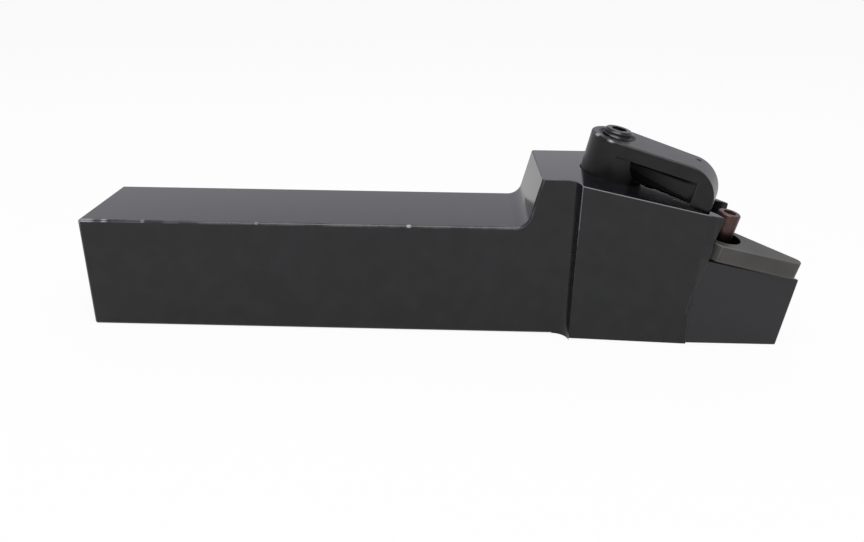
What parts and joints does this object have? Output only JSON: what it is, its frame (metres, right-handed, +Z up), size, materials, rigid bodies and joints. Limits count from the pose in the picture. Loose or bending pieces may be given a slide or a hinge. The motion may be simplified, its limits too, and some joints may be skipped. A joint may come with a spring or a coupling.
{
  "type": "turning tool holder",
  "caption": "Square-shank external turning tool holder with a raised head, rhombic insert seat with shim and lock pin, and a screw-driven top clamp.",
  "frame": {"origin": "on the shank's rear face plane, at the middle of its width and the height of its base", "axes": "+X along the shank towards the cutting corner, +Y across it away from the cutting side, +Z up from the base"},
  "size_m": [0.123, 0.0245, 0.0357],
  "materials": {
    "holder": "satin black oxide",
    "shim": "matte ground carbide",
    "lock_pin": "satin, reddish brown",
    "clamp": "glossy black oxide",
    "clamp_screw": "black oxide"
  },
  "bodies": {
    "holder": {"holder": "holder", "shim": "shim", "lock_pin": "lock_pin"},
    "clamp": {"clamp": "clamp"},
    "clamp_screw": {"clamp_screw": "clamp_screw"}
  },
  "joints": [
    {"name": "clamp_screw_turn", "type": "hinge", "parent": "holder", "child": "clamp_screw", "pos_m": [0.09147, -0.00112, 0.02801], "axis": [0.1995, -0.0597, 0.9781], "range_deg": [0, 720]},
    {"name": "clamp_lift", "type": "slide", "parent": "holder", "child": "clamp", "axis": [0.1995, -0.0597, 0.9781], "range_m": [0, 0.0032]}
  ],
  "couplings": [
    {"joint": "clamp_screw_turn", "follows": "clamp_lift", "rad_per_m": 3926.9}
  ]
}
